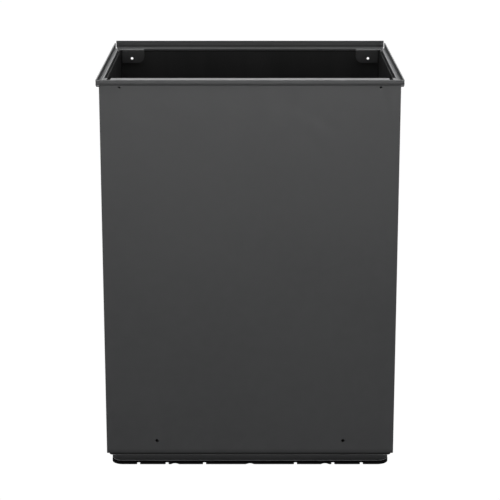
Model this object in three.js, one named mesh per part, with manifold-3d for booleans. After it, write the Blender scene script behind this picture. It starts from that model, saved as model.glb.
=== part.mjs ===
// Container of a household trash compactor: a folded sheet-steel shell on a stepped base,
// with a black liner tub that lifts straight out of it.
// Millimetres, +Z up. The front faces -Y. The origin is under the middle of the outline, on the floor.
import * as THREE from "three";
import { mergeVertices } from "three/addons/utils/BufferGeometryUtils.js";
import Module from "manifold-3d";

const wasm = await Module();
wasm.setup();

// Overall size, measured over the rim.
const WIDTH = 341.4;
const DEPTH = 307.2;
const HEIGHT = 456.4;

const SHEET = 1.2; // shell steel
const GAP = 0.3; // clearance between pieces that touch
const EPS = 1; // how far a cutter runs past the face it cuts

// Rim: the walls step outwards and stand up again. The rear lip reaches further back.
const SIDE_STEP = 3.4;
const FRONT_STEP = 1.6;
const FRONT_BAND = 6;
const SIDE_UPSTAND = 7;
const REAR_UPSTAND = 7.3;
const FRONT_FLANGE = 12.8;
const REAR_LEDGE = 19.2;
const FLANGE_HALF = 154.5;
const FRONT_CORNER = [158.4, 162]; // short pieces past the relief notches at the ends
const REAR_LEDGE_HALF = 168.8;
const REAR_RAIL_HALF = 170.2;
const RAIL_LEG_HALF = 140;
const RAIL_LEG = 22;

// Outer faces of the walls.
const WALL_X = WIDTH / 2 - SIDE_STEP;
const WALL_FRONT = -DEPTH / 2 + FRONT_STEP;
const LEDGE_EDGE = DEPTH / 2 - REAR_LEDGE;
const WALL_REAR = LEDGE_EDGE + SHEET;
const WALL_BOTTOM = 16.3;
const LEDGE_TOP = HEIGHT - REAR_UPSTAND;
const RETURN = 14; // flange folded inwards along each side panel's front and rear edge

// Base, from the floor up: notched foot ring, pan, band, then the walls.
const FOOT_INSET = 5;
const FOOT_HEIGHT = 3.7;
const FOOT_WIDTH = 12;
const PAN_INSET = 4.9;
const PAN_BOTTOM = FOOT_HEIGHT + GAP;
const PAN_TOP = 21.4;
const BAND_INSET = 2.6;
const BAND_BOTTOM = 12.8;
const BAND_TOP = 22.9;
const BASE_RADIUS = 13; // plan corners of the foot ring and the pan
const BAND_RADIUS = 4;
const FLOOR_BOTTOM = PAN_TOP + GAP;
const FLOOR_THICKNESS = 1.5;

// Liner tub.
const LINER_SIDE_CLEARANCE = 0.7;
const LINER_WALL = 2.4;
const LINER_FLOOR = 3;
const LINER_RADIUS = 4;
const LINER_BOTTOM = FLOOR_BOTTOM + FLOOR_THICKNESS + GAP;
const LINER_TOP = LEDGE_TOP - 1.9;
const LINER_X = WALL_X - SHEET - LINER_SIDE_CLEARANCE;
const LINER_FRONT = -DEPTH / 2 + FRONT_FLANGE + 0.7;
const LINER_REAR = LEDGE_EDGE - 0.6;

// Holes.
const UPPER_HOLE = { x: 144.8, z: HEIGHT - 8.9, radius: 1.5 };
const LOWER_HOLE = { x: 108.5, z: 31.5, radius: 2 };
const REAR_HOLE = { x: 149, z: HEIGHT - 19.1, radius: 1.6 };
const RIVET = { x: 159, shank: 1.6, head: 3, headHeight: 1.2, rows: [60, 180, 300, 410] };
const SCREW = { inset: 11, shank: 1.7, head: 3.2, headBottom: 0.8, headHeight: 1.3, length: 8 };

const paint = (name) => material(name, 0x4a4b4d, 0.45, 0.25);
const blackPlastic = (name) => material(name, 0x141414, 0.55, 0);
const zinc = (name) => material(name, 0x9a9c9e, 0.35, 0.9);

function material(name, color, roughness, metalness) {
  return new THREE.MeshStandardMaterial({ name, color, roughness, metalness });
}

function solid(geometry) {
  const bare = geometry.clone();
  bare.deleteAttribute("normal");
  bare.deleteAttribute("uv");
  const merged = mergeVertices(bare, 1e-4);
  const vertProperties = new Float32Array(merged.attributes.position.array);
  const triVerts = new Uint32Array(merged.index.array);
  return new wasm.Manifold(new wasm.Mesh({ numProp: 3, vertProperties, triVerts }));
}

function geometryOf(manifold) {
  const mesh = manifold.getMesh();
  const geometry = new THREE.BufferGeometry();
  geometry.setAttribute("position", new THREE.BufferAttribute(mesh.vertProperties, 3));
  geometry.setIndex(new THREE.BufferAttribute(mesh.triVerts, 1));
  geometry.computeVertexNormals();
  return geometry;
}

const union = (parts) => parts.reduce((sum, part) => sum.add(part));
const cut = (body, cutters) => cutters.reduce((rest, cutter) => rest.subtract(cutter), body);
const mirror = (shape) => shape.mirror([1, 0, 0]);

function block([x0, x1], [y0, y1], [z0, z1]) {
  const geometry = new THREE.BoxGeometry(x1 - x0, y1 - y0, z1 - z0);
  return solid(geometry.translate((x0 + x1) / 2, (y0 + y1) / 2, (z0 + z1) / 2));
}

// A rod along Y, for holes and cutters through the front and rear walls.
function rodY(x, z, radius, [y0, y1], segments = 14) {
  const geometry = new THREE.CylinderGeometry(radius, radius, y1 - y0, segments);
  return solid(geometry.translate(x, (y0 + y1) / 2, z));
}

// A rod along X, for cutters through the sides.
function rodX(y, z, radius, [x0, x1], segments = 14) {
  const geometry = new THREE.CylinderGeometry(radius, radius, x1 - x0, segments);
  return solid(geometry.rotateZ(Math.PI / 2).translate((x0 + x1) / 2, y, z));
}

function rodZ(x, y, radius, [z0, z1], segments = 14) {
  const geometry = new THREE.CylinderGeometry(radius, radius, z1 - z0, segments);
  return solid(geometry.rotateX(Math.PI / 2).translate(x, y, (z0 + z1) / 2));
}

// A closed outline of [y, z] points, swept along X.
function sweepX(outline, [x0, x1]) {
  const shape = new THREE.Shape(outline.map(([y, z]) => new THREE.Vector2(y, z)));
  const geometry = new THREE.ExtrudeGeometry(shape, { depth: x1 - x0, bevelEnabled: false });
  const axes = new THREE.Matrix4().makeBasis(
    new THREE.Vector3(0, 1, 0),
    new THREE.Vector3(0, 0, 1),
    new THREE.Vector3(1, 0, 0),
  );
  return solid(geometry.applyMatrix4(axes).translate(x0, 0, 0));
}

// A rounded rectangle in plan, swept up from z0 to z1.
function roundedPlan([x0, x1], [y0, y1], radius, [z0, z1]) {
  const shape = new THREE.Shape();
  shape.absarc(x1 - radius, y0 + radius, radius, -Math.PI / 2, 0);
  shape.absarc(x1 - radius, y1 - radius, radius, 0, Math.PI / 2);
  shape.absarc(x0 + radius, y1 - radius, radius, Math.PI / 2, Math.PI);
  shape.absarc(x0 + radius, y0 + radius, radius, Math.PI, 1.5 * Math.PI);
  const options = { depth: z1 - z0, bevelEnabled: false, curveSegments: 6 };
  return solid(new THREE.ExtrudeGeometry(shape, options).translate(0, 0, z0));
}

// A plan outline that follows the walls at a given inset.
function insetPlan(inset, radius, heights) {
  const across = [-WALL_X + inset, WALL_X - inset];
  const along = [WALL_FRONT + inset, WALL_REAR - inset];
  return roundedPlan(across, along, radius, heights);
}

function insetRing(inset, wall, radius, [z0, z1]) {
  const hole = insetPlan(inset + wall, Math.max(radius - wall, 1), [z0 - EPS, z1 + EPS]);
  return insetPlan(inset, radius, [z0, z1]).subtract(hole);
}

// --- Shell -------------------------------------------------------------------

// Front sheet: wall, step outwards, band, and a flange turned inwards along the top.
function frontPanel() {
  const outer = -DEPTH / 2;
  const bandBottom = HEIGHT - FRONT_BAND;
  const wall = block(
    [-WALL_X, WALL_X],
    [WALL_FRONT, WALL_FRONT + SHEET],
    [WALL_BOTTOM, bandBottom + SHEET],
  );
  const step = [
    [outer, bandBottom],
    [WALL_FRONT + SHEET, bandBottom],
    [WALL_FRONT + SHEET, bandBottom + SHEET],
    [outer + SHEET, bandBottom + SHEET],
    [outer + SHEET, HEIGHT],
    [outer, HEIGHT],
  ];
  const band = sweepX(step, [-WIDTH / 2, WIDTH / 2]);
  const flangeEdge = outer + FRONT_FLANGE;
  const flange = block(
    [-FLANGE_HALF, FLANGE_HALF],
    [outer + SHEET / 2, flangeEdge],
    [HEIGHT - SHEET, HEIGHT],
  );
  const corner = block(FRONT_CORNER, [outer + SHEET / 2, flangeEdge], [HEIGHT - SHEET, HEIGHT]);
  const through = [outer - EPS, WALL_FRONT + SHEET + EPS];
  const holes = [UPPER_HOLE, LOWER_HOLE].flatMap(({ x, z, radius }) => [
    rodY(-x, z, radius, through),
    rodY(x, z, radius, through),
  ]);
  return cut(union([wall, band, flange, corner, mirror(corner)]), holes);
}

// Side sheet, built on the +X side: wall, step and upstand, with a return flange at each end.
function sidePanel() {
  const inner = WALL_X - SHEET;
  const front = WALL_FRONT + SHEET + GAP;
  const rear = WALL_REAR + GAP;
  const ledgeTop = HEIGHT - SIDE_UPSTAND;
  const rimFront = -DEPTH / 2 + SHEET + GAP;
  const rimRear = LEDGE_EDGE - GAP;
  const returnTop = HEIGHT - 28;
  const wall = block([inner, WALL_X], [front, rear + SHEET], [WALL_BOTTOM, ledgeTop - SHEET]);
  const ledge = block([inner, WIDTH / 2], [front, rimRear], [ledgeTop - SHEET, ledgeTop]);
  const upstand = block([WIDTH / 2 - SHEET, WIDTH / 2], [front, rimRear], [ledgeTop - SHEET, HEIGHT]);
  const noseHeights = [HEIGHT - FRONT_BAND + SHEET + GAP, HEIGHT - SHEET - GAP];
  const nose = block([WIDTH / 2 - SHEET, WIDTH / 2], [rimFront, front], noseHeights);
  const returns = [
    block([inner - RETURN, WALL_X], [front, front + SHEET], [WALL_BOTTOM, returnTop]),
    block([inner - RETURN, WALL_X], [rear, rear + SHEET], [WALL_BOTTOM, returnTop]),
  ];
  const rivetHoles = RIVET.rows.map((z) =>
    rodY(RIVET.x, z, RIVET.shank + GAP, [rear - EPS, rear + SHEET + EPS]),
  );
  const underRearLedge = block(
    [inner - EPS, WALL_X + EPS],
    [rimRear, rear + SHEET + EPS],
    [LEDGE_TOP - SHEET - GAP, HEIGHT],
  );
  return cut(union([wall, ledge, upstand, nose, ...returns]), [underRearLedge, ...rivetHoles]);
}

function rearPanel() {
  const half = WALL_X - SHEET - GAP;
  const sheet = block([-half, half], [LEDGE_EDGE, WALL_REAR], [WALL_BOTTOM, LEDGE_TOP - SHEET - GAP]);
  const through = [LEDGE_EDGE - EPS, WALL_REAR + EPS];
  const holes = [-1, 1].flatMap((side) => [
    rodY(side * REAR_HOLE.x, REAR_HOLE.z, REAR_HOLE.radius + 0.9, through),
    ...RIVET.rows.map((z) => rodY(side * RIVET.x, z, RIVET.shank + GAP, through)),
  ]);
  return cut(sheet, holes);
}

// Rear lip: a leg behind the rear panel, a ledge reaching back and an upstand along its edge.
function rearRail() {
  const outer = DEPTH / 2;
  const under = LEDGE_TOP - SHEET;
  const legFront = WALL_REAR + GAP;
  const leg = block(
    [-RAIL_LEG_HALF, RAIL_LEG_HALF],
    [legFront, legFront + SHEET],
    [under - RAIL_LEG, under + SHEET / 2],
  );
  const ledge = block(
    [-REAR_LEDGE_HALF, REAR_LEDGE_HALF],
    [LEDGE_EDGE, outer - SHEET / 2],
    [under, LEDGE_TOP],
  );
  const upstand = block([-REAR_RAIL_HALF, REAR_RAIL_HALF], [outer - SHEET, outer], [under, HEIGHT]);
  return union([leg, ledge, upstand]);
}

// Top-hat section standing behind the front wall: it stiffens the wall and keeps the liner back.
function frontStiffener() {
  const back = WALL_FRONT + SHEET + GAP;
  const crown = LINER_FRONT - GAP;
  const heights = [LOWER_HOLE.z + 11, HEIGHT - 30];
  const crownHalf = 12;
  const flangeHalf = 24;
  const outside = block([-crownHalf, crownHalf], [back, crown], heights);
  const hollow = block(
    [-crownHalf + SHEET, crownHalf - SHEET],
    [back - EPS, crown - SHEET],
    [heights[0] - EPS, heights[1] + EPS],
  );
  const flange = block([-flangeHalf, flangeHalf], [back, back + SHEET], heights);
  return union([outside, flange]).subtract(hollow);
}

// Bent plate under the front flange, behind an upper hole.
function frontGusset() {
  const back = WALL_FRONT + SHEET + GAP;
  const top = HEIGHT - SHEET - GAP;
  const half = 9;
  const upright = block([-half, half], [back, back + 2], [top - 24, top]);
  const shelf = block([-half, half], [back, LINER_FRONT - 1], [top - 2, top]);
  const hole = rodY(0, UPPER_HOLE.z, UPPER_HOLE.radius + 0.2, [back - EPS, back + 2 + EPS]);
  return upright.add(shelf).subtract(hole);
}

function nutPlate() {
  const back = WALL_FRONT + SHEET + GAP;
  const plate = block([-11, 11], [back, back + 2], [LOWER_HOLE.z - 2.4, LOWER_HOLE.z + 8]);
  const boss = rodY(0, LOWER_HOLE.z + 1.4, 3.6, [back + 1, back + 6], 6);
  const hole = rodY(0, LOWER_HOLE.z, LOWER_HOLE.radius - 0.3, [back - EPS, back + 6 + EPS]);
  return plate.add(boss).subtract(hole);
}

function rivet() {
  const { shank, head, headHeight } = RIVET;
  const seat = WALL_REAR + GAP + SHEET + GAP;
  const tail = LEDGE_EDGE + 0.1;
  const profile = [
    new THREE.Vector2(0, tail),
    new THREE.Vector2(shank, tail),
    new THREE.Vector2(shank, seat),
    new THREE.Vector2(head, seat),
    new THREE.Vector2(head * 0.8, seat + headHeight * 0.6),
    new THREE.Vector2(head * 0.45, seat + headHeight * 0.92),
    new THREE.Vector2(0, seat + headHeight),
  ];
  return solid(new THREE.LatheGeometry(profile, 12));
}

// --- Base --------------------------------------------------------------------

// Stepped band: the narrow lower part shows under the walls, the upper part fits inside them.
function baseBand() {
  const wall = PAN_INSET - BAND_INSET - GAP;
  const shelf = WALL_BOTTOM - GAP;
  const lower = insetRing(BAND_INSET, wall, BAND_RADIUS, [BAND_BOTTOM, shelf]);
  const tuck = SHEET + GAP;
  const upperInset = tuck + SHEET + GAP; // inside the side panels' return flanges as well
  const upperWall = PAN_INSET - upperInset - GAP;
  const upper = insetRing(upperInset, upperWall, BAND_RADIUS, [shelf - SHEET, BAND_TOP]);
  return lower.add(upper);
}

function basePan() {
  const outside = insetPlan(PAN_INSET, BASE_RADIUS, [PAN_BOTTOM, PAN_TOP]);
  const inside = insetPlan(PAN_INSET + SHEET, BASE_RADIUS - SHEET, [PAN_BOTTOM + SHEET, PAN_TOP + EPS]);
  return cut(outside.subtract(inside), footScrewPlaces().map(([x, y]) => screwHole(x, y)));
}

function floorPlate() {
  return insetPlan(PAN_INSET + 1, BASE_RADIUS - 2, [FLOOR_BOTTOM, FLOOR_BOTTOM + FLOOR_THICKNESS]);
}

// Hat-section channel between the pan and the floor plate, running front to back.
function floorChannel() {
  const along = [WALL_FRONT + PAN_INSET + 20, WALL_REAR - PAN_INSET - 20];
  const foot = PAN_BOTTOM + SHEET + GAP;
  const thickness = 1.5;
  const crownHalf = 22;
  const crown = block([-crownHalf, crownHalf], along, [foot, PAN_TOP]);
  const hollow = block(
    [-crownHalf + thickness, crownHalf - thickness],
    [along[0] - EPS, along[1] + EPS],
    [foot - EPS, PAN_TOP - thickness],
  );
  const flanges = block([-crownHalf - 14, crownHalf + 14], along, [foot, foot + thickness]);
  return union([crown, flanges]).subtract(hollow);
}

function footScrewPlaces() {
  const x = WALL_X - FOOT_INSET - SCREW.inset;
  const front = WALL_FRONT + FOOT_INSET + SCREW.inset;
  const rear = WALL_REAR - FOOT_INSET - SCREW.inset;
  return [
    [-x, front],
    [x, front],
    [-x, rear],
    [x, rear],
  ];
}

function screwHole(x, y) {
  return rodZ(x, y, SCREW.shank + GAP, [-EPS, PAN_BOTTOM + SHEET + EPS]);
}

// Moulded foot: a ring with corner webs, small square notches and wide shallow arches.
function footRing() {
  const ring = insetRing(FOOT_INSET, FOOT_WIDTH, BASE_RADIUS, [0, FOOT_HEIGHT]);
  const webs = footScrewPlaces().map(([x, y]) => rodZ(x, y, 9, [0, FOOT_HEIGHT], 24));
  const counterbores = footScrewPlaces().flatMap(([x, y]) => [
    screwHole(x, y),
    rodZ(x, y, SCREW.head + GAP, [-EPS, SCREW.headBottom + SCREW.headHeight + GAP]),
  ]);
  return cut(union([ring, ...webs]), [...footNotches(), ...counterbores]);
}

function footNotches() {
  const squareAt = [53.4, 97.4, 130.8];
  const archAt = [0, 88];
  const square = { half: 1.75, height: 2.3 };
  const arch = { half: 4.7, height: 1.2 };
  const radius = (arch.half ** 2 + arch.height ** 2) / (2 * arch.height);
  const across = [-WALL_X, WALL_X];
  const along = [WALL_FRONT, WALL_REAR];
  const middleY = (WALL_FRONT + WALL_REAR) / 2;
  const bothWays = (places) => [...new Set(places.flatMap((at) => [-at, at]))];
  const squares = bothWays(squareAt).map((x) =>
    block([x - square.half, x + square.half], along, [-EPS, square.height]),
  );
  const sideSquares = bothWays(squareAt.slice(0, 2)).map((y) =>
    block(across, [middleY + y - square.half, middleY + y + square.half], [-EPS, square.height]),
  );
  const drop = arch.height - radius;
  const arches = bothWays(archAt).map((x) => rodY(x, drop, radius, along, 48));
  const sideArches = bothWays(archAt).map((y) => rodX(middleY + y, drop, radius, across, 48));
  return [...squares, ...sideSquares, ...arches, ...sideArches];
}

function footScrew() {
  const { shank, head, headBottom, headHeight, length } = SCREW;
  const profile = [
    new THREE.Vector2(0, headBottom),
    new THREE.Vector2(head, headBottom),
    new THREE.Vector2(head, headBottom + headHeight),
    new THREE.Vector2(shank, headBottom + headHeight),
    new THREE.Vector2(shank, headBottom + length),
    new THREE.Vector2(0, headBottom + length),
  ];
  return solid(new THREE.LatheGeometry(profile, 12).rotateX(Math.PI / 2));
}

// --- Liner -------------------------------------------------------------------

function linerTub() {
  const across = [-LINER_X, LINER_X];
  const along = [LINER_FRONT, LINER_REAR];
  const inset = ([low, high], by) => [low + by, high - by];
  const outside = roundedPlan(across, along, LINER_RADIUS, [LINER_BOTTOM, LINER_TOP]);
  const inside = roundedPlan(
    inset(across, LINER_WALL),
    inset(along, LINER_WALL),
    LINER_RADIUS - LINER_WALL,
    [LINER_BOTTOM + LINER_FLOOR, LINER_TOP + EPS],
  );
  const through = [LINER_REAR - LINER_WALL - EPS, LINER_REAR + EPS];
  const holes = [-1, 1].map((side) =>
    rodY(side * REAR_HOLE.x, REAR_HOLE.z, REAR_HOLE.radius + 0.5, through),
  );
  return cut(outside.subtract(inside), holes);
}

// Corner bracket on the +X side: a plate inside the rear wall, hooked over its top edge.
function linerBracket() {
  const face = LINER_REAR - LINER_WALL - GAP;
  const inner = 133.6;
  const outer = LINER_X - LINER_WALL - 1.9;
  const bottom = HEIGHT - 24.8;
  const top = LINER_TOP + GAP + SHEET;
  const chamfer = 8;
  const outline = new THREE.Shape([
    new THREE.Vector2(inner, top),
    new THREE.Vector2(inner, bottom + chamfer),
    new THREE.Vector2(inner + chamfer * 0.3, bottom + chamfer * 0.3),
    new THREE.Vector2(inner + chamfer, bottom),
    new THREE.Vector2(outer, bottom),
    new THREE.Vector2(outer, top),
  ]);
  const options = { depth: SHEET, bevelEnabled: false };
  const plate = new THREE.ExtrudeGeometry(outline, options).rotateX(Math.PI / 2);
  const hook = block([inner, outer], [face - SHEET, LINER_REAR], [top - SHEET, top]);
  const hole = rodY(REAR_HOLE.x, REAR_HOLE.z, REAR_HOLE.radius, [face - SHEET - EPS, face + EPS]);
  return solid(plate.translate(0, face, 0)).add(hook).subtract(hole);
}

// --- Assembly ----------------------------------------------------------------

const object = new THREE.Group();
const shell = new THREE.Group();
const base = new THREE.Group();
const liner = new THREE.Group();
object.add(shell, base, liner);

function place(group, name, shape, look, position = [0, 0, 0]) {
  const mesh = new THREE.Mesh(geometryOf(shape), look(name));
  mesh.name = name;
  mesh.position.set(...position);
  group.add(mesh);
}

const SIDES = [
  ["left", -1],
  ["right", 1],
];

place(shell, "front_panel", frontPanel(), paint);
place(shell, "rear_panel", rearPanel(), paint);
place(shell, "rear_rim_rail", rearRail(), paint);
for (const [side, sign] of SIDES) {
  place(shell, `${side}_side_panel`, sign > 0 ? sidePanel() : mirror(sidePanel()), paint);
  place(shell, `front_stiffener_${side}`, frontStiffener(), paint, [sign * LOWER_HOLE.x, 0, 0]);
  place(shell, `front_gusset_${side}`, frontGusset(), paint, [sign * UPPER_HOLE.x, 0, 0]);
  place(shell, `nut_plate_${side}`, nutPlate(), paint, [sign * LOWER_HOLE.x, 0, 0]);
  RIVET.rows.forEach((z, row) => {
    place(shell, `seam_rivet_${side}_${row + 1}`, rivet(), zinc, [sign * RIVET.x, 0, z]);
  });
}

place(base, "base_band", baseBand(), paint);
place(base, "base_pan", basePan(), paint);
place(base, "floor_plate", floorPlate(), zinc);
place(base, "foot_ring", footRing(), blackPlastic);
const CHANNELS = [
  ["left", -100],
  ["middle", 0],
  ["right", 100],
];
for (const [side, x] of CHANNELS) {
  place(base, `floor_channel_${side}`, floorChannel(), zinc, [x, 0, 0]);
}
footScrewPlaces().forEach(([x, y], index) => {
  place(base, `foot_screw_${index + 1}`, footScrew(), zinc, [x, y, 0]);
});

place(liner, "liner_tub", linerTub(), blackPlastic);
place(liner, "liner_bracket_right", linerBracket(), paint);
place(liner, "liner_bracket_left", mirror(linerBracket()), paint);

export default object;
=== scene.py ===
"""Looks of a trash compactor's container: a folded sheet-steel shell on a stepped base,
with a black liner tub that lifts out of it. Metres, +Z up, the front faces -Y."""
import math

import bmesh
import bpy
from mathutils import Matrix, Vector


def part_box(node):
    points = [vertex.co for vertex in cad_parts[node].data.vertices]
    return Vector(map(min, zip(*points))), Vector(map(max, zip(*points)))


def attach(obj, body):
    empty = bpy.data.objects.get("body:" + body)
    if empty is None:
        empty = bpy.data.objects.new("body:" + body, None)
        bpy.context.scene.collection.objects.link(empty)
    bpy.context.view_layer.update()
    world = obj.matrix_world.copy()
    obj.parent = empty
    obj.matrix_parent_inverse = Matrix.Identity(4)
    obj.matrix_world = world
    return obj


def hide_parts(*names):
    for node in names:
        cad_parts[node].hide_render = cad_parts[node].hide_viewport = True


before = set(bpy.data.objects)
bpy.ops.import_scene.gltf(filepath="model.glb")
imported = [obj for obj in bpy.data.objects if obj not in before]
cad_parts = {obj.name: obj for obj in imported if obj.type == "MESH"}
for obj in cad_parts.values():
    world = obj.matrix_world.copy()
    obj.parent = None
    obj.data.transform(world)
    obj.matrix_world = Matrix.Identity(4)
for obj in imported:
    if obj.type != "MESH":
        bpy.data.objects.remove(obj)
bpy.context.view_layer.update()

MM = 0.001
SHEET = 1.2 * MM
GAP = 0.3 * MM
BEND = 1.4 * MM  # bend radius at the middle of the sheet
TIGHT_BEND = 0.8 * MM
JOGGLE = 1.3 * MM  # bend radius of the step under the front band
JOGGLE_RISE = 2.6 * MM
CORNER = 1.1 * MM  # rounding of the front sheet's upright edges
OVERCUT = 1 * MM
SHARP_EDGE = 0.22 * MM

SIDE_STEP = 3.4 * MM
FRONT_STEP = 1.6 * MM
FRONT_BAND = 6 * MM
SIDE_UPSTAND = 7 * MM
REAR_UPSTAND = 7.3 * MM
FLANGE_HALF = 154.5 * MM
FRONT_CORNER = (158.4 * MM, 162 * MM)
REAR_LEDGE_HALF = 168.8 * MM
RETURN = 14 * MM
RETURN_DROP = 28 * MM
RAIL_LEG_HALF = 140 * MM

UPPER_HOLE = (144.8 * MM, 447.5 * MM, 1.5 * MM)
LOWER_HOLE = (108.5 * MM, 31.5 * MM, 2 * MM)
REAR_HOLE = (149 * MM, 437.3 * MM, 1.6 * MM)

LINER_WALL = 2.4 * MM
LINER_FLOOR = 3 * MM
LINER_RADIUS = 4 * MM
BASE_RADIUS = 13 * MM
BAND_RADIUS = 4 * MM

SIDES = (("left", -1), ("right", 1))
RIVET_ROWS = (1, 2, 3, 4)
RIVET_HOLE = 1.8 * MM
RIVET_SHANK = 1.6 * MM
RIVET_HEAD_HEIGHT = 1.2 * MM
SCREW_HOLE = 2 * MM
SCREW_HEAD_HEIGHT = 1.3 * MM
SCREW_SHANK = 1.7 * MM
REAR_PANEL_HOLE_MORE = 0.9 * MM  # how much wider than the bracket's hole
LINER_HOLE_MORE = 0.5 * MM
SCREWS = (1, 2, 3, 4)


# --- Mesh code ----------------------------------------------------------------

# How a point (a, b) of a section and a distance s along the sweep become x, y, z.
SWEEPS = {
    "x": lambda a, b, s: (s, a, b),
    "y": lambda a, b, s: (a, s, b),
    "z": lambda a, b, s: (a, b, s),
}


def left_of(direction):
    return Vector((-direction.y, direction.x))


def turned(vector, angle):
    c, s = math.cos(angle), math.sin(angle)
    return Vector((vector.x * c - vector.y * s, vector.x * s + vector.y * c))


def rounded_path(points, radii, steps=5):
    """(point, normal) pairs along a line whose corners are rounded."""
    points = [Vector(p) for p in points]
    ways = [(b - a).normalized() for a, b in zip(points, points[1:])]
    samples = [(points[0], left_of(ways[0]))]
    for corner, before, after, radius in zip(points[1:], ways, ways[1:], radii):
        cross = before.x * after.y - before.y * after.x
        angle = math.acos(max(-1, min(1, before.dot(after))))
        side = math.copysign(1, cross)
        start = corner - before * radius * math.tan(angle / 2)
        centre = start + left_of(before) * radius * side
        for k in range(steps + 1):
            normal = turned(left_of(before), side * angle * k / steps)
            samples.append((centre - normal * radius * side, normal))
    samples.append((points[-1], left_of(ways[-1])))
    return samples


def made(name, bm):
    bmesh.ops.remove_doubles(bm, verts=bm.verts, dist=1e-6)
    bmesh.ops.recalc_face_normals(bm, faces=bm.faces)
    mesh = bpy.data.meshes.new(name)
    bm.to_mesh(mesh)
    bm.free()
    obj = bpy.data.objects.new(name, mesh)
    bpy.context.scene.collection.objects.link(obj)
    return obj


def strip(bm, rows, closed):
    """Quads between neighbouring rows of vertices."""
    for low, high in zip(rows, rows[1:]):
        count = len(low)
        for i in range(count if closed else count - 1):
            j = (i + 1) % count
            bm.faces.new((low[i], low[j], high[j], high[i]))


def folded_sheet(name, path, axis, span, radius=BEND, thickness=SHEET):
    """A sheet folded along a path, swept straight along an axis."""
    bm = bmesh.new()
    radii = radius if isinstance(radius, tuple) else (radius,) * (len(path) - 2)
    samples = rounded_path(path, radii)
    place = SWEEPS[axis]
    ends = []
    for s in span:
        sides = []
        for sign in (1, -1):
            points = [p + n * thickness / 2 * sign for p, n in samples]
            sides.append([bm.verts.new(place(p.x, p.y, s)) for p in points])
        ends.append(sides)
    (near_a, near_b), (far_a, far_b) = ends
    for row, other in ((near_a, far_a), (near_b, far_b), (near_a, near_b), (far_a, far_b)):
        strip(bm, [row, other], closed=False)
    for end in (0, -1):
        bm.faces.new((near_a[end], near_b[end], far_b[end], far_a[end]))
    return made(name, bm)


def prism(name, outline, axis, span):
    """A flat outline swept along an axis."""
    bm = bmesh.new()
    place = SWEEPS[axis]
    rows = [[bm.verts.new(place(a, b, s)) for a, b in outline] for s in span]
    strip(bm, rows, closed=True)
    for row in rows:
        bm.faces.new(row)
    return made(name, bm)


def block(name, low, high):
    (x0, y0, z0), (x1, y1, z1) = low, high
    return prism(name, [(x0, y0), (x1, y0), (x1, y1), (x0, y1)], "z", (z0, z1))


def circle(centre, radius, count):
    turns = [2 * math.pi * k / count for k in range(count)]
    return [(centre[0] + radius * math.cos(t), centre[1] + radius * math.sin(t)) for t in turns]


def rod(name, axis, centre, radius, span, count=28):
    return prism(name, circle(centre, radius, count), axis, span)


def lathe(name, profile, axis, centre, count=32):
    """A profile of (radius, distance along the axis) points, turned about the axis."""
    bm = bmesh.new()
    place = SWEEPS[axis]
    rows = []
    for radius, s in profile:
        ring = circle(centre, max(radius, 1e-7), count)
        rows.append([bm.verts.new(place(a, b, s)) for a, b in ring])
    strip(bm, rows, closed=True)
    bm.faces.new(rows[0])
    bm.faces.new(rows[-1])
    return made(name, bm)


def apply_modifiers(obj):
    graph = bpy.context.evaluated_depsgraph_get()
    mesh = bpy.data.meshes.new_from_object(obj.evaluated_get(graph))
    obj.modifiers.clear()
    obj.data = mesh


def combine(target, tools, operation):
    for tool in tools:
        modifier = target.modifiers.new("combine", "BOOLEAN")
        modifier.operation = operation
        modifier.object = tool
        modifier.solver = "EXACT"
    apply_modifiers(target)
    for tool in tools:
        bpy.data.objects.remove(tool)
    return target


def cut(target, *tools):
    return combine(target, tools, "DIFFERENCE")


def weld(target, *tools):
    return combine(target, tools, "UNION")


def soften(obj, width=SHARP_EDGE, segments=2, angle=34, tidy=False):
    """Rounds the sharp edges a little and shades the flats as flats."""
    if tidy:
        welded = obj.modifiers.new("weld", "WELD")
        welded.merge_threshold = 0.01 * MM
        flats = obj.modifiers.new("flats", "DECIMATE")
        flats.decimate_type = "DISSOLVE"
        flats.angle_limit = math.radians(0.5)
    bevel = obj.modifiers.new("edges", "BEVEL")
    bevel.limit_method = "ANGLE"
    bevel.angle_limit = math.radians(angle)
    bevel.width = width
    bevel.segments = segments
    obj.data.polygons.foreach_set("use_smooth", [True] * len(obj.data.polygons))
    obj.modifiers.new("shading", "WEIGHTED_NORMAL").weight = 60
    return obj


# --- Materials ----------------------------------------------------------------

def add(tree, kind, **values):
    """A node with its named inputs set to values or linked to sockets."""
    node = tree.nodes.new("ShaderNode" + kind)
    for key, value in values.items():
        if key in node.inputs.keys():
            socket = node.inputs[key]
            if isinstance(value, bpy.types.NodeSocket):
                tree.links.new(value, socket)
            else:
                socket.default_value = value
        else:
            setattr(node, key, value)
    return node


def ramp(tree, value, low, high, out_low=0.0, out_high=1.0):
    node = tree.nodes.new("ShaderNodeMapRange")
    tree.links.new(value, node.inputs["Value"])
    settings = (("From Min", low), ("From Max", high), ("To Min", out_low), ("To Max", out_high))
    for key, number in settings:
        node.inputs[key].default_value = number
    return node.outputs["Result"]


def maths(tree, operation, a, b=0.0):
    node = tree.nodes.new("ShaderNodeMath")
    node.operation = operation
    for socket, value in zip(node.inputs, (a, b)):
        if isinstance(value, bpy.types.NodeSocket):
            tree.links.new(value, socket)
        else:
            socket.default_value = value
    return node.outputs[0]


def mixed(tree, factor, a, b):
    node = tree.nodes.new("ShaderNodeMix")
    node.data_type = "RGBA"
    tree.links.new(factor, node.inputs["Factor"])
    for socket, value in ((node.inputs[6], a), (node.inputs[7], b)):
        if isinstance(value, bpy.types.NodeSocket):
            tree.links.new(value, socket)
        else:
            socket.default_value = (*value, 1)
    return node.outputs[2]


def stretched(tree, factors):
    """Object coordinates, scaled differently along each axis."""
    coordinates = add(tree, "TexCoord").outputs["Object"]
    return add(tree, "Mapping", Vector=coordinates, Scale=factors).outputs["Vector"]


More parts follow.
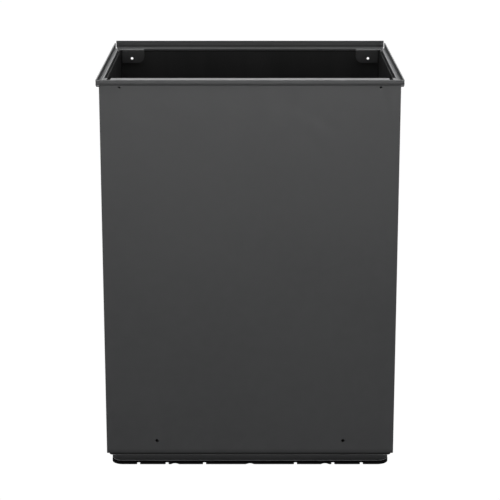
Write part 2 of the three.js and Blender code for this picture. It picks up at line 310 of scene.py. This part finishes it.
def noise(tree, vector, scale, detail=2.0, roughness=0.5):
    node = add(tree, "TexNoise", Vector=vector, Scale=scale, Detail=detail, Roughness=roughness)
    return node.outputs["Fac"]


def edge_mask(tree, radius):
    """1 along outer and inner edges, 0 on the flats."""
    rounded = add(tree, "Bevel", Radius=radius)
    rounded.samples = 4
    flat = add(tree, "NewGeometry").outputs["True Normal"]
    dot = add(tree, "VectorMath", operation="DOT_PRODUCT")
    tree.links.new(rounded.outputs[0], dot.inputs[0])
    tree.links.new(flat, dot.inputs[1])
    return ramp(tree, dot.outputs["Value"], 0.995, 0.86)


def blank(name):
    material = bpy.data.materials.new(name)
    material.use_nodes = True
    tree = material.node_tree
    shader = next(n for n in tree.nodes if n.type == "BSDF_PRINCIPLED")
    return material, tree, shader


def bumped(tree, shader, layers):
    """Adds bumps of (height socket, strength, height in metres), one on top of the other."""
    normal = None
    for height, strength, distance in layers:
        bump = add(tree, "Bump", Height=height, Strength=strength, Distance=distance)
        if normal is not None:
            tree.links.new(normal, bump.inputs["Normal"])
        normal = bump.outputs["Normal"]
    tree.links.new(normal, shader.inputs["Normal"])


def height_shade_and_highlight(tree, here):
    """Painted shade and highlight by height: darker round the foot and under the wall's edge as
    painted shade, a pale line along the pan's lower edge as a painted highlight.
    """
    height = add(tree, "SeparateXYZ", Vector=here).outputs["Z"]
    curve = add(tree, "ValToRGB", Fac=ramp(tree, height, 0, HEIGHT_SHADING_TOP))
    stops = curve.color_ramp.elements
    while len(stops) < len(HEIGHT_SHADING):
        stops.new(1.0)
    for stop, (z, factor) in zip(stops, HEIGHT_SHADING):
        stop.position = z / HEIGHT_SHADING_TOP
        stop.color = (*[factor / HEIGHT_SHADING_SCALE] * 3, 1)
    return maths(tree, "MULTIPLY", curve.outputs["Color"], HEIGHT_SHADING_SCALE)


def crease(tree, here):
    """Mask of painted shadow: 1 in the fold between the rear lip's ledge and its upstand, where the
    upstand shades the ledge, 0 elsewhere.
    """
    parts = add(tree, "SeparateXYZ", Vector=here)
    back = ramp(tree, parts.outputs["Y"], *CREASE_DEPTH)
    low = ramp(tree, parts.outputs["Z"], LIP_FOLD + 2.5 * MM, LIP_FOLD + 0.6 * MM)
    above = ramp(tree, parts.outputs["Z"], LIP_FOLD - 2 * MM, LIP_FOLD - 1.5 * MM)
    return maths(tree, "MULTIPLY", maths(tree, "MULTIPLY", back, low), above)


def shell_paint(name, shade=1.0, specular=0.5):
    """Baked-on dark grey paint: fine orange peel, a few rubbed patches, thin paint on the edges,
    painted shadow in the rear lip's fold, and painted shade and highlight by height.
    """
    material, tree, shader = blank(name)
    dark, light, fleck, thin = ([shade * c for c in colour] for colour in PAINT_TONES)
    here = stretched(tree, (1, 1, 1))
    cloudy = noise(tree, here, 7, 3)
    mottled = noise(tree, here, 90, 3)
    peel = noise(tree, here, 620, 2, 0.4)
    fine = noise(tree, here, 2600, 1)
    rubbed = noise(tree, stretched(tree, (160, 160, 9)), 1, 3, 0.6)
    scuffs = ramp(tree, rubbed, 0.62, 0.8)
    tone = mixed(tree, ramp(tree, cloudy, 0.3, 0.7), dark, light)
    tone = mixed(tree, ramp(tree, mottled, 0.35, 0.7, 0, 0.35), tone, fleck)
    patchy = ramp(tree, mottled, 0.4, 0.62, 0.1, 0.55)
    worn = maths(tree, "MULTIPLY", edge_mask(tree, 0.7 * MM), patchy)
    tone = mixed(tree, worn, tone, thin)
    # Painted shadow in the rear lip's fold, where the upstand shades the ledge.
    tone = mixed(tree, crease(tree, here), tone, CREASE_SHADOW_TONE)
    # Painted shade near the foot and under the wall's edge, and a painted highlight along the pan's
    # lower edge.
    height_shaded = add(tree, "VectorMath", operation="SCALE", Vector=tone, Scale=height_shade_and_highlight(tree, here))
    tree.links.new(height_shaded.outputs["Vector"], shader.inputs["Base Color"])
    rough = ramp(tree, mottled, 0.3, 0.7, PAINT_ROUGHNESS - 0.03, PAINT_ROUGHNESS + 0.04)
    rough = maths(tree, "SUBTRACT", rough, maths(tree, "MULTIPLY", scuffs, 0.05))
    tree.links.new(rough, shader.inputs["Roughness"])
    shader.inputs["Specular IOR Level"].default_value = specular
    bumped(tree, shader, [(peel, 0.22, 0.05 * MM), (fine, 0.12, 0.02 * MM)])
    return material


def black_plastic(name, dark, light):
    """Moulded black plastic with a fine pebbled grain and faint flow marks."""
    material, tree, shader = blank(name)
    here = stretched(tree, (1, 1, 1))
    cells = add(tree, "TexVoronoi", Vector=here, Scale=780).outputs["Distance"]
    flow = noise(tree, stretched(tree, (22, 22, 3)), 1, 4, 0.55)
    dust = noise(tree, here, 140, 4, 0.7)
    tone = mixed(tree, ramp(tree, flow, 0.35, 0.68), dark, light)
    tone = mixed(tree, ramp(tree, dust, 0.6, 0.9, 0, 0.35), tone, PLASTIC_DUST)
    rubbed = maths(tree, "MULTIPLY", edge_mask(tree, 0.9 * MM), 0.3)
    tone = mixed(tree, rubbed, tone, PLASTIC_RUBBED)
    height = add(tree, "SeparateXYZ", Vector=here).outputs["Z"]
    # Painted shade: the top of the tub's rim is made near black.
    rim = ramp(tree, height, LINER_RIM - 1.6 * MM, LINER_RIM - 0.9 * MM)
    tone = mixed(tree, rim, tone, RIM_PAINTED_SHADE)
    tree.links.new(tone, shader.inputs["Base Color"])
    tree.links.new(ramp(tree, flow, 0.3, 0.7, 0.52, 0.63), shader.inputs["Roughness"])
    shader.inputs["Specular IOR Level"].default_value = 0.02
    bumped(tree, shader, [(cells, 0.3, 0.06 * MM), (dust, 0.1, 0.05 * MM)])
    return material


def zinc_steel():
    """Zinc-plated steel: faint spangle, drawing lines and dulled edges."""
    material, tree, shader = blank("zinc_steel")
    here = stretched(tree, (1, 1, 1))
    spangle = add(tree, "TexVoronoi", Vector=here, Scale=170).outputs["Color"]
    shade = add(tree, "SeparateColor", Color=spangle).outputs[0]
    lines = noise(tree, stretched(tree, (900, 30, 900)), 1, 2)
    stain = noise(tree, here, 30, 4, 0.6)
    tone = mixed(tree, ramp(tree, shade, 0, 1), ZINC_DARK, ZINC_LIGHT)
    tone = mixed(tree, ramp(tree, stain, 0.5, 0.8, 0, 0.6), tone, ZINC_STAIN)
    worn = maths(tree, "MULTIPLY", edge_mask(tree, 0.5 * MM), 0.4)
    tone = mixed(tree, worn, tone, ZINC_LIGHT)
    tree.links.new(tone, shader.inputs["Base Color"])
    tree.links.new(ramp(tree, lines, 0.3, 0.7, 0.3, 0.46), shader.inputs["Roughness"])
    shader.inputs["Metallic"].default_value = 1.0
    bumped(tree, shader, [(lines, 0.12, 0.02 * MM), (stain, 0.1, 0.04 * MM)])
    return material


LIP_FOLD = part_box("front_panel")[1].z - REAR_UPSTAND
CREASE_DEPTH = (141 * MM, 147 * MM)  # from where the shade starts to where it is full
# Painted shade and highlight by height: darker under the wall's lower edge, on the band and down the
# pan as painted shade; a thin pale line at the pan's lower edge as a painted highlight.
HEIGHT_SHADING_TOP = 24 * MM
HEIGHT_SHADING_SCALE = 4
HEIGHT_SHADING = (  # height and lightness
    (5.1 * MM, 3.4),
    (5.4 * MM, 0.3),
    (11.9 * MM, 0.8),
    (12.9 * MM, 0.16),
    (16.6 * MM, 0.16),
    (17.8 * MM, 0.6),
    (21.5 * MM, 1.0),
)
PAINT_DARK = (0.052, 0.053, 0.055)
PAINT_LIGHT = (0.058, 0.059, 0.061)
PAINT_FLECK = (0.066, 0.067, 0.069)
PAINT_WORN = (0.082, 0.082, 0.084)
# Painted shadow tone for the fold of the rear lip.
CREASE_SHADOW_TONE = (0.014, 0.014, 0.014)
PAINT_TONES = (PAINT_DARK, PAINT_LIGHT, PAINT_FLECK, PAINT_WORN)
PAINT_ROUGHNESS = 0.42
LINER_BLACK = ((0.0285, 0.0286, 0.0288), (0.035, 0.0351, 0.0352))
FOOT_BLACK = ((0.0035, 0.0035, 0.0037), (0.0055, 0.0055, 0.0056))
PLASTIC_DUST = (0.036, 0.036, 0.035)
LINER_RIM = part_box("liner_tub")[1].z
# Painted shade for the top of the tub's rim.
RIM_PAINTED_SHADE = (0.004, 0.004, 0.004)
PLASTIC_RUBBED = (0.024, 0.024, 0.025)
ZINC_DARK = (0.44, 0.45, 0.46)
ZINC_LIGHT = (0.58, 0.59, 0.6)
ZINC_STAIN = (0.36, 0.36, 0.35)

FINISHES = {
    "shell_paint": shell_paint("shell_paint"),
    "black_plastic": black_plastic("black_plastic", *LINER_BLACK),
    "zinc_steel": zinc_steel(),
}
FOOT_FINISH = black_plastic("black_plastic_foot", *FOOT_BLACK)
# Shaded copy of the paint for the liner brackets: painted shade, as they sit inside the tub.
BRACKET_SHADED_PAINT = shell_paint("shell_paint_bracket_shaded", 0.42)
BASE_FINISH = shell_paint("shell_paint_base", specular=0.3)
# Near-black copy of the paint for the parts behind the front holes: painted shadow seen through the
# holes.
HOLE_SHADOW_PAINT = shell_paint("shell_paint_hole_shadow", 0.1)


def dress(obj, slot):
    obj.data.materials.clear()
    obj.data.materials.append(FINISHES[slot])
    return obj


def piece(obj, body, slot, *nodes):
    """A finished piece: its look, the body it rides on and the CAD nodes it stands for."""
    dress(obj, slot)
    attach(obj, body)
    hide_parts(*nodes)
    return obj


# --- Shell --------------------------------------------------------------------

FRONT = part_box("front_panel")
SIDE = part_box("right_side_panel")
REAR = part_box("rear_panel")
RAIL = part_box("rear_rim_rail")
TOP = FRONT[1].z
WALL_BOTTOM = FRONT[0].z
WALL_X = SIDE[1].x - SIDE_STEP
WALL_FRONT = FRONT[0].y + FRONT_STEP


def mirrored(low, high):
    """The same block on the other side."""
    return (-high[0], low[1], low[2]), (-low[0], high[1], high[2])


def both_sides(name, low, high):
    return [block(name, low, high), block(name, *mirrored(low, high))]


def holes(name, places, span):
    made_here = []
    for x, z, radius in places:
        for sign in (-1, 1):
            made_here.append(rod(name, "y", (sign * x, z), radius, span))
    return made_here


def front_panel():
    """Front sheet: wall, joggle outwards, band and a flange turned in along the top."""
    half = SHEET / 2
    wall = WALL_FRONT + half
    band = FRONT[0].y + half
    step = TOP - FRONT_BAND + half
    path = [
        (wall, WALL_BOTTOM),
        (wall, step - JOGGLE_RISE / 2),
        (band, step + JOGGLE_RISE / 2),
        (band, TOP - half),
        (FRONT[1].y, TOP - half),
    ]
    bends = (JOGGLE, JOGGLE, TIGHT_BEND)
    sheet = folded_sheet("front_sheet", path, "x", (FRONT[0].x, FRONT[1].x), bends)
    below = (WALL_X, FRONT[0].y - OVERCUT, WALL_BOTTOM - OVERCUT)
    above = (FRONT[1].x + OVERCUT, FRONT[1].y, step - half)
    tools = both_sides("beyond_wall", below, above)
    relief = FRONT[0].y + SHEET + GAP / 2
    for start, end in ((FLANGE_HALF, FRONT_CORNER[0]), (FRONT_CORNER[1], FRONT[1].x + OVERCUT)):
        low = (start, relief, TOP - 3 * SHEET)
        high = (end, FRONT[1].y + OVERCUT, TOP + OVERCUT)
        tools += both_sides("relief", low, high)
    span = (FRONT[0].y - OVERCUT, WALL_FRONT + SHEET + OVERCUT)
    tools += holes("hole", [UPPER_HOLE, LOWER_HOLE], span)
    cut(sheet, *tools)
    round_upright_edges(sheet)
    return soften(sheet)


def round_upright_edges(sheet):
    """Rounds the outer upright edges of the wall and of the band's ends."""
    bm = bmesh.new()
    bm.from_mesh(sheet.data)
    near = 0.05 * MM

    def outer(vert):
        on_wall = abs(abs(vert.co.x) - WALL_X) < near and abs(vert.co.y - WALL_FRONT) < near
        on_band = abs(abs(vert.co.x) - FRONT[1].x) < near and abs(vert.co.y - FRONT[0].y) < near
        return on_wall or on_band

    edges = [e for e in bm.edges if all(outer(v) for v in e.verts)]
    upright = [e for e in edges if abs(e.verts[0].co.x - e.verts[1].co.x) < near]
    bmesh.ops.bevel(bm, geom=upright, offset=CORNER, segments=4, profile=0.5, affect="EDGES")
    bm.to_mesh(sheet.data)
    bm.free()


def side_panel(side, sign):
    """Side sheet: wall, a return along each end, and a stepped rim that stops short of the rear."""
    low, high = SIDE
    half = SHEET / 2
    wall = WALL_X - half
    rim = high.x - half
    front = WALL_FRONT + SHEET + GAP
    ledge = TOP - SIDE_UPSTAND - half
    return_top = TOP - RETURN_DROP
    inner = WALL_X - SHEET - RETURN
    plan = [
        (sign * inner, front + half),
        (sign * wall, front + half),
        (sign * wall, high.y - half),
        (sign * inner, high.y - half),
    ]
    body = folded_sheet(f"{side}_side", plan, "z", (low.z, return_top))
    section = [
        (sign * wall, return_top - OVERCUT),
        (sign * wall, ledge),
        (sign * rim, ledge),
        (sign * rim, TOP),
    ]
    rim_end = RAIL[0].y - GAP
    upper = folded_sheet("rim", section, "y", (front, high.y), TIGHT_BEND)
    xs = sorted((sign * (WALL_X + GAP), sign * (high.x + OVERCUT)))
    stop_low = (xs[0], rim_end, ledge - SHEET)
    stop_high = (xs[1], high.y + OVERCUT, TOP + OVERCUT)
    cut(upper, block("rim_stop", stop_low, stop_high))
    inner_x, outer_x = sorted((sign * (rim - half), sign * (rim + half)))
    nose_low = (inner_x, low.y, TOP - FRONT_BAND + SHEET + GAP)
    nose_high = (outer_x, front + OVERCUT, TOP - SHEET - GAP)
    weld(body, upper, block("nose", nose_low, nose_high))
    rivets = [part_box(f"seam_rivet_{side}_{row}") for row in RIVET_ROWS]
    span = (high.y - SHEET - OVERCUT, high.y + OVERCUT)
    for r_low, r_high in rivets:
        centre = ((r_low.x + r_high.x) / 2, (r_low.z + r_high.z) / 2)
        cut(body, rod("rivet_hole", "y", centre, RIVET_HOLE, span, 20))
    return soften(body)


def rear_panel():
    """Flat rear sheet with rivet holes along both edges."""
    low, high = REAR
    sheet = block("rear_sheet", low, high)
    span = (low.y - OVERCUT, high.y + OVERCUT)
    tools = holes("hole", [(REAR_HOLE[0], REAR_HOLE[1], REAR_HOLE[2] + REAR_PANEL_HOLE_MORE)], span)
    for side, _ in SIDES:
        for row in RIVET_ROWS:
            r_low, r_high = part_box(f"seam_rivet_{side}_{row}")
            centre = ((r_low.x + r_high.x) / 2, (r_low.z + r_high.z) / 2)
            tools.append(rod("rivet_hole", "y", centre, RIVET_HOLE, span, 20))
    return soften(cut(sheet, *tools))


def rear_rail():
    """Rear lip: a ledge reaching back with an upstand, on a leg behind the rear sheet."""
    low, high = RAIL
    half = SHEET / 2
    ledge = TOP - REAR_UPSTAND - half
    path = [(low.y, ledge), (high.y - half, ledge), (high.y - half, TOP)]
    rail = folded_sheet("rear_lip", path, "x", (low.x, high.x), TIGHT_BEND)
    cut_low = (REAR_LEDGE_HALF, low.y - OVERCUT, ledge - SHEET)
    cut_high = (high.x + OVERCUT, high.y - SHEET - GAP / 2, TOP + OVERCUT)
    cut(rail, *both_sides("relief", cut_low, cut_high))
    leg = REAR[1].y + GAP + half
    leg_path = [(leg, low.z), (leg, ledge), (leg + 6 * MM, ledge)]
    return soften(weld(rail, folded_sheet("leg", leg_path, "x", (-RAIL_LEG_HALF, RAIL_LEG_HALF))))


def rivet(name):
    """Domed blind rivet with the hollow that its broken-off mandrel leaves."""
    low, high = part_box(name)
    centre = ((low.x + high.x) / 2, (low.z + high.z) / 2)
    head = (high.x - low.x) / 2
    height = RIVET_HEAD_HEIGHT
    seat = high.y - height
    shank = RIVET_SHANK
    profile = [(0, low.y), (shank * 0.8, low.y), (shank, low.y + 0.3 * MM)]
    profile += [(shank, seat), (head, seat)]
    for k in range(9):
        turn = math.radians(10 * k)
        rise = height * (0.15 + 0.85 * math.sin(turn))
        profile.append((head * math.cos(turn) ** 0.6, seat + rise))
    profile = [p for p in profile if p[0] > head * 0.42 or p[1] <= seat]
    profile += [(head * 0.36, high.y - 0.05 * MM), (head * 0.3, high.y - 0.35 * MM)]
    profile.append((0, high.y - 0.4 * MM))
    return soften(lathe(name + "_domed", profile, "y", centre, 28), 0.06 * MM, 2, 50)


# --- Base ---------------------------------------------------------------------

def foot_screw(name):
    """Pan-head screw seen from below, with a cross recess."""
    low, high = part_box(name)
    centre = ((low.x + high.x) / 2, (low.y + high.y) / 2)
    head = (high.x - low.x) / 2
    under = low.z + SCREW_HEAD_HEIGHT
    shank = SCREW_SHANK
    profile = [(0, low.z), (head * 0.55, low.z + 0.04 * MM), (head * 0.85, low.z + 0.25 * MM)]
    profile += [(head, low.z + 0.7 * MM), (head, under), (shank, under)]
    pitch = 0.7 * MM
    at = under + pitch
    while at + pitch < high.z:
        profile += [(shank, at), (shank * 0.78, at + pitch / 2)]
        at += pitch
    profile += [(shank, at), (shank * 0.7, high.z), (0, high.z)]
    screw = lathe(name + "_cross", profile, "z", centre, 28)
    arm, half = head * 0.52, 0.35 * MM
    x, y = centre
    top = low.z + 0.9 * MM
    tools = [
        block("slot", (x - arm, y - half, low.z - OVERCUT), (x + arm, y + half, top)),
        block("slot", (x - half, y - arm, low.z - OVERCUT), (x + half, y + arm, top)),
    ]
    return soften(cut(screw, *tools), 0.05 * MM, 1, 50)


def plan_loop(low, high, inset, radius, steps=8):
    """A rounded rectangle in plan, at a given inset from the tub's outside."""
    x0, x1 = low.x + inset + radius, high.x - inset - radius
    y0, y1 = low.y + inset + radius, high.y - inset - radius
    corners = (((x1, y0), -90), ((x1, y1), 0), ((x0, y1), 90), ((x0, y0), 180))
    points = []
    for centre, start in corners:
        for k in range(steps + 1):
            turn = math.radians(start + 90 * k / steps)
            across, along = radius * math.cos(turn), radius * math.sin(turn)
            points.append((centre[0] + across, centre[1] + along))
    return points


def arc(centre, radius, start, end, steps=6):
    """Points of a circular arc in (inset, height), turned from start to end in degrees."""
    turns = [math.radians(start + (end - start) * k / steps) for k in range(steps + 1)]
    return [(centre[0] + radius * math.cos(t), centre[1] + radius * math.sin(t)) for t in turns]


def moulded(name, low, high, section, corner, closed=False):
    """A section of (inset, height) points carried round a rounded rectangle in plan."""
    bm = bmesh.new()
    rows = []
    for inset, z in section:
        loop = plan_loop(low, high, inset, max(corner - inset, 0.6 * MM))
        rows.append([bm.verts.new((x, y, z)) for x, y in loop])
    if closed:
        rows.append(rows[0])
    else:
        bm.faces.new(rows[0])
        bm.faces.new(rows[-1])
    strip(bm, rows, closed=True)
    return made(name, bm)


def base_pan():
    """Pressed pan with a rounded lower edge."""
    low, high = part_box("base_pan")
    outer, draft = 1.5 * MM, 0.3 * MM
    inner = outer - SHEET
    section = [(outer * 4, low.z)]
    section += arc((outer + draft, low.z + outer), outer, 270, 180)
    section += [(0, high.z), (SHEET, high.z)]
    section += arc((outer + draft, low.z + outer), inner, 180, 270)
    section += [(outer * 4, low.z + SHEET)]
    pan = moulded("base_pan_pressed", low, high, section, BASE_RADIUS)
    span = (low.z - OVERCUT, low.z + SHEET + OVERCUT)
    tools = []
    for number in SCREWS:
        s_low, s_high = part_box(f"foot_screw_{number}")
        centre = ((s_low.x + s_high.x) / 2, (s_low.y + s_high.y) / 2)
        tools.append(rod("screw_hole", "z", centre, SCREW_HOLE, span, 20))
    return soften(cut(pan, *tools))


def base_band():
    """Band round the foot of the walls: a plain strip below, tucked inside the walls above."""
    low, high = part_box("base_band")
    shelf = WALL_BOTTOM - GAP
    outer, tuck = 0.9 * MM, 0.4 * MM
    upper = 1.6 * MM
    section = arc((outer, low.z + outer), outer, 270, 180, 4)
    section += [(0, shelf), (tuck, shelf), (tuck, high.z)]
    section += [(tuck + upper, high.z), (tuck + upper, low.z)]
    return soften(moulded("base_band_folded", low, high, section, BAND_RADIUS, closed=True))


# --- Liner --------------------------------------------------------------------

def liner_tub():
    """Moulded tub: soft rim, filleted floor, and a shallow raised field in the floor."""
    low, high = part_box("liner_tub")
    wall, fillet, outer = LINER_WALL, 8 * MM, 3 * MM
    rim = wall / 2
    floor = low.z + LINER_FLOOR
    field = wall + fillet + 16 * MM
    section = [(outer * 4, low.z)]
    section += arc((outer, low.z + outer), outer, 270, 180)
    section += arc((rim, high.z - rim), rim, 180, 0)
    section += arc((wall + fillet, floor + fillet), fillet, 180, 270)
    section += [(field, floor), (field + 1.5 * MM, floor + 0.3 * MM)]
    section.append((field + 3 * MM, floor + 0.8 * MM))
    tub = moulded("liner_moulding", low, high, section, LINER_RADIUS)
    span = (high.y - wall - OVERCUT, high.y + OVERCUT)
    wider = (REAR_HOLE[0], REAR_HOLE[1], REAR_HOLE[2] + LINER_HOLE_MORE)
    cut(tub, *holes("hole", [wider], span))
    return soften(tub, 0.15 * MM, 2, 50)


def liner_bracket(side, sign):
    """Corner bracket hooked over the tub's rear edge, with a rounded lower inner corner."""
    low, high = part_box(f"liner_bracket_{side}")
    half = SHEET / 2
    path = [(low.y + half, low.z), (low.y + half, high.z - half), (high.y, high.z - half)]
    plate = folded_sheet(f"liner_bracket_plate_{side}", path, "x", (low.x, high.x), 1.1 * MM)
    inner, outer = (low.x, high.x) if sign > 0 else (high.x, low.x)
    chamfer = 8 * MM
    outline = [(inner, high.z + OVERCUT), (inner, low.z + chamfer)]
    for k in range(1, 7):
        turn = math.radians(90 * k / 6)
        x = inner + sign * chamfer * (1 - math.cos(turn))
        outline.append((x, low.z + chamfer * (1 - math.sin(turn))))
    outline += [(outer, low.z), (outer, high.z + OVERCUT)]
    shape = prism("bracket_shape", outline, "y", (low.y - OVERCUT, high.y + OVERCUT))
    combine(plate, [shape], "INTERSECT")
    x, z, radius = REAR_HOLE
    span = (low.y - OVERCUT, low.y + 3 * SHEET)
    return soften(cut(plate, rod("hole", "y", (sign * x, z), radius, span)))


# --- Pieces -------------------------------------------------------------------

PAINT, PLASTIC, ZINC = "shell_paint", "black_plastic", "zinc_steel"

piece(front_panel(), "container", PAINT, "front_panel")
piece(rear_panel(), "container", PAINT, "rear_panel")
piece(rear_rail(), "container", PAINT, "rear_rim_rail")
pan = piece(base_pan(), "container", PAINT, "base_pan")
band = piece(base_band(), "container", PAINT, "base_band")
for ring in (pan, band):
    ring.data.materials[0] = BASE_FINISH
piece(liner_tub(), "liner", PLASTIC, "liner_tub")
for side, sign in SIDES:
    piece(side_panel(side, sign), "container", PAINT, f"{side}_side_panel")
    bracket = piece(liner_bracket(side, sign), "liner", PAINT, f"liner_bracket_{side}")
    # The brackets take the shaded copy of the paint: painted shade.
    bracket.data.materials[0] = BRACKET_SHADED_PAINT
    for row in RIVET_ROWS:
        name = f"seam_rivet_{side}_{row}"
        piece(rivet(name), "container", ZINC, name)
for number in SCREWS:
    name = f"foot_screw_{number}"
    piece(foot_screw(name), "container", ZINC, name)

# CAD nodes that stay: their look, and how far their edges are rounded.
KEPT = {
    "foot_ring": (PLASTIC, 0.4 * MM),
    "floor_plate": (ZINC, 0.3 * MM),
    "floor_channel_left": (ZINC, 0.4 * MM),
    "floor_channel_middle": (ZINC, 0.4 * MM),
    "floor_channel_right": (ZINC, 0.4 * MM),
    "front_stiffener_left": (PAINT, 0.4 * MM),
    "front_stiffener_right": (PAINT, 0.4 * MM),
    "front_gusset_left": (PAINT, 0.3 * MM),
    "front_gusset_right": (PAINT, 0.3 * MM),
    "nut_plate_left": (PAINT, 0.25 * MM),
    "nut_plate_right": (PAINT, 0.25 * MM),
}
for name, (slot, width) in KEPT.items():
    soften(dress(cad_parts[name], slot), width, 3, 34, tidy=True)
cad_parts["foot_ring"].data.materials[0] = FOOT_FINISH
# Parts seen through the front holes take the near-black copy of the paint: painted shadow in the
# holes.
for side, _ in SIDES:
    for name in (f"nut_plate_{side}", f"front_gusset_{side}"):
        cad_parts[name].data.materials[0] = HOLE_SHADOW_PAINT


# --- Floor, light and camera --------------------------------------------------

def glow(name, colour, strength):
    material = bpy.data.materials.new(name)
    material.use_nodes = True
    tree = material.node_tree
    tree.nodes.clear()
    shine = add(tree, "Emission", Color=(*colour, 1), Strength=strength)
    output = add(tree, "OutputMaterial")
    tree.links.new(shine.outputs[0], output.inputs["Surface"])
    return material


def seen_only(obj):
    """Shown to the camera, but it lights nothing."""
    obj.visible_diffuse = False
    obj.visible_glossy = False
    obj.visible_transmission = False
    obj.visible_shadow = False


def studio():
    half = 14.0
    outline = [(-half, -half), (half, -half), (half, half), (-half, half)]
    floor = prism("floor", outline, "z", (-0.02, 0))
    dome = bpy.data.meshes.new("backdrop")
    bm = bmesh.new()
    bmesh.ops.create_uvsphere(bm, u_segments=48, v_segments=24, radius=half - 1)
    bm.to_mesh(dome)
    bm.free()
    backdrop = bpy.data.objects.new("backdrop", dome)
    bpy.context.scene.collection.objects.link(backdrop)
    for obj in (floor, backdrop):
        obj.data.materials.append(glow(obj.name + "_white", (1, 1, 1), 1.02))
        seen_only(obj)


def area_light(name, place, target, size, power):
    light = bpy.data.lights.new(name, "AREA")
    light.shape = "RECTANGLE"
    light.size, light.size_y = size
    light.energy = power
    obj = bpy.data.objects.new(name, light)
    bpy.context.scene.collection.objects.link(obj)
    obj.location = place
    obj.rotation_euler = (Vector(target) - Vector(place)).to_track_quat("-Z", "Y").to_euler()
    obj.visible_camera = False
    return obj


LIGHTS = (
    ("front", (0, -3.2, 0.5), (0, 0, 0.25), (2.6, 1.2), 39),
    ("behind", (0, 2.6, 1.1), (0, 0, 0.3), (3.6, 2.2), 40),
    ("above", (0, 0.1, 2.2), (0, 0, 0.3), (1.6, 1.6), 46),
    ("left", (-2.4, 0, 0.15), (0, 0, 0.2), (1.6, 0.5), 20),
    ("right", (2.4, 0, 0.15), (0, 0, 0.2), (1.6, 0.5), 20),
    ("below", (0, 0.3, -1.2), (0, 0.1, 0), (1.6, 1.2), 35),
)
WORLD = 0.04
CAMERA_LENS = 125.7
CAMERA_PLACE = (0, -2.0638, 0.7709)
CAMERA_TILT = 75.09  # degrees up from straight down

studio()
for light in LIGHTS:
    area_light(*light)

world = bpy.data.worlds.new("studio")
world.use_nodes = True
sky = next(n for n in world.node_tree.nodes if n.type == "BACKGROUND")
sky.inputs["Color"].default_value = (1, 1, 1, 1)
sky.inputs["Strength"].default_value = WORLD
bpy.context.scene.world = world

camera = bpy.data.objects.new("camera", bpy.data.cameras.new("camera"))
camera.data.lens = CAMERA_LENS
camera.data.clip_end = 60
camera.location = CAMERA_PLACE
camera.rotation_euler = (math.radians(CAMERA_TILT), 0, 0)
bpy.context.scene.collection.objects.link(camera)
bpy.context.scene.camera = camera
bpy.context.scene.view_settings.view_transform = "Standard"
